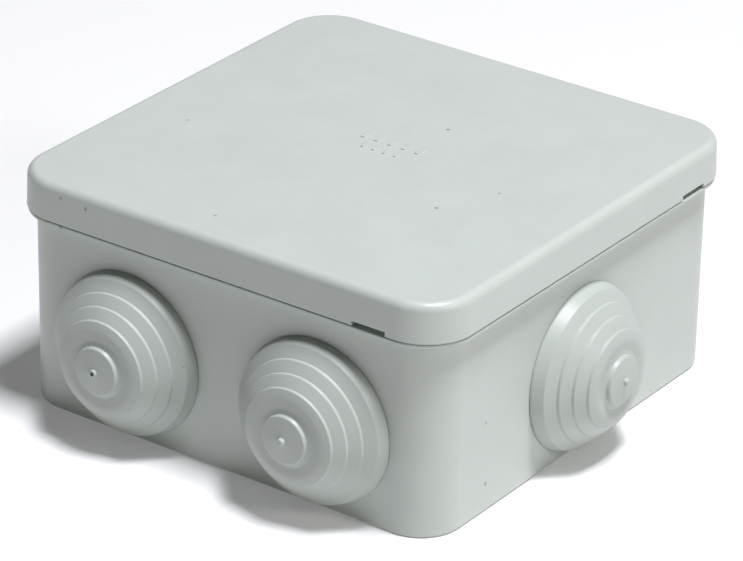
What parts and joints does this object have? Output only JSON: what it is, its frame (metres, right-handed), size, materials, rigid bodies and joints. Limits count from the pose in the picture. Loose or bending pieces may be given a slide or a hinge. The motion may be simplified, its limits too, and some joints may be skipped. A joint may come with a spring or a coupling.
{
  "type": "electrical junction box",
  "caption": "Square surface-mounted plastic junction box with a push-fit lid, stepped cable-entry glands on its four sides and a screw terminal block inside.",
  "frame": {"origin": "centre of the base's bottom face, which is also the bottom centre of the whole box", "axes": "+Z from the mounting surface to the lid; -Y is the front side with two glands; +X is the right side with one gland"},
  "size_m": [0.0986, 0.0986, 0.0405],
  "materials": {
    "grey_shell": "light grey moulded plastic, fine satin texture",
    "grey_soft_pvc": "light grey soft moulded rubber, matt",
    "seal_rubber": "black foam rubber",
    "cap_plastic": "grey moulded plastic, satin",
    "block_polyamide": "natural off-white polyamide, satin",
    "brass": "plain drawn brass",
    "zinc_plated_steel": "bright zinc plate"
  },
  "bodies": {
    "box": {"base": "grey_shell", "gland_front_left": "grey_soft_pvc", "gland_front_right": "grey_soft_pvc", "gland_right": "grey_soft_pvc", "gland_back_left": "grey_soft_pvc", "gland_back_right": "grey_soft_pvc", "gland_left": "grey_soft_pvc", "terminal_block": "block_polyamide", "block_screw_left": "zinc_plated_steel", "block_screw_right": "zinc_plated_steel", "terminal_barrel_1": "brass", "terminal_barrel_2": "brass", "terminal_barrel_3": "brass"},
    "lid": {"lid": "grey_shell", "lid_seal": "seal_rubber"},
    "screw_cap_front_left": {"screw_cap_front_left": "cap_plastic"},
    "screw_cap_back_left": {"screw_cap_back_left": "cap_plastic"},
    "screw_cap_front_right": {"screw_cap_front_right": "cap_plastic"},
    "screw_cap_back_right": {"screw_cap_back_right": "cap_plastic"},
    "clamp_screw_1_front": {"clamp_screw_1_front": "zinc_plated_steel"},
    "clamp_screw_1_back": {"clamp_screw_1_back": "zinc_plated_steel"},
    "clamp_screw_2_front": {"clamp_screw_2_front": "zinc_plated_steel"},
    "clamp_screw_2_back": {"clamp_screw_2_back": "zinc_plated_steel"},
    "clamp_screw_3_front": {"clamp_screw_3_front": "zinc_plated_steel"},
    "clamp_screw_3_back": {"clamp_screw_3_back": "zinc_plated_steel"}
  },
  "joints": [
    {"name": "lid_lift", "type": "slide", "parent": "box", "child": "lid", "axis": [0, 0, 1], "range_m": [0, 0.06]},
    {"name": "screw_cap_front_left_pull", "type": "slide", "parent": "box", "child": "screw_cap_front_left", "axis": [0, 0, 1], "range_m": [0, 0.012]},
    {"name": "screw_cap_back_left_pull", "type": "slide", "parent": "box", "child": "screw_cap_back_left", "axis": [0, 0, 1], "range_m": [0, 0.012]},
    {"name": "screw_cap_front_right_pull", "type": "slide", "parent": "box", "child": "screw_cap_front_right", "axis": [0, 0, 1], "range_m": [0, 0.012]},
    {"name": "screw_cap_back_right_pull", "type": "slide", "parent": "box", "child": "screw_cap_back_right", "axis": [0, 0, 1], "range_m": [0, 0.012]},
    {"name": "clamp_screw_1_front_turn", "type": "hinge", "parent": "box", "child": "clamp_screw_1_front", "pos_m": [-0.009, -0.0042, 0.0195], "axis": [0, 0, 1], "range_deg": [-1350, 0]},
    {"name": "clamp_screw_1_back_turn", "type": "hinge", "parent": "box", "child": "clamp_screw_1_back", "pos_m": [-0.009, 0.0042, 0.0195], "axis": [0, 0, 1], "range_deg": [-1350, 0]},
    {"name": "clamp_screw_2_front_turn", "type": "hinge", "parent": "box", "child": "clamp_screw_2_front", "pos_m": [0, -0.0042, 0.0195], "axis": [0, 0, 1], "range_deg": [-1350, 0]},
    {"name": "clamp_screw_2_back_turn", "type": "hinge", "parent": "box", "child": "clamp_screw_2_back", "pos_m": [0, 0.0042, 0.0195], "axis": [0, 0, 1], "range_deg": [-1350, 0]},
    {"name": "clamp_screw_3_front_turn", "type": "hinge", "parent": "box", "child": "clamp_screw_3_front", "pos_m": [0.009, -0.0042, 0.0195], "axis": [0, 0, 1], "range_deg": [-1350, 0]},
    {"name": "clamp_screw_3_back_turn", "type": "hinge", "parent": "box", "child": "clamp_screw_3_back", "pos_m": [0.009, 0.0042, 0.0195], "axis": [0, 0, 1], "range_deg": [-1350, 0]}
  ]
}
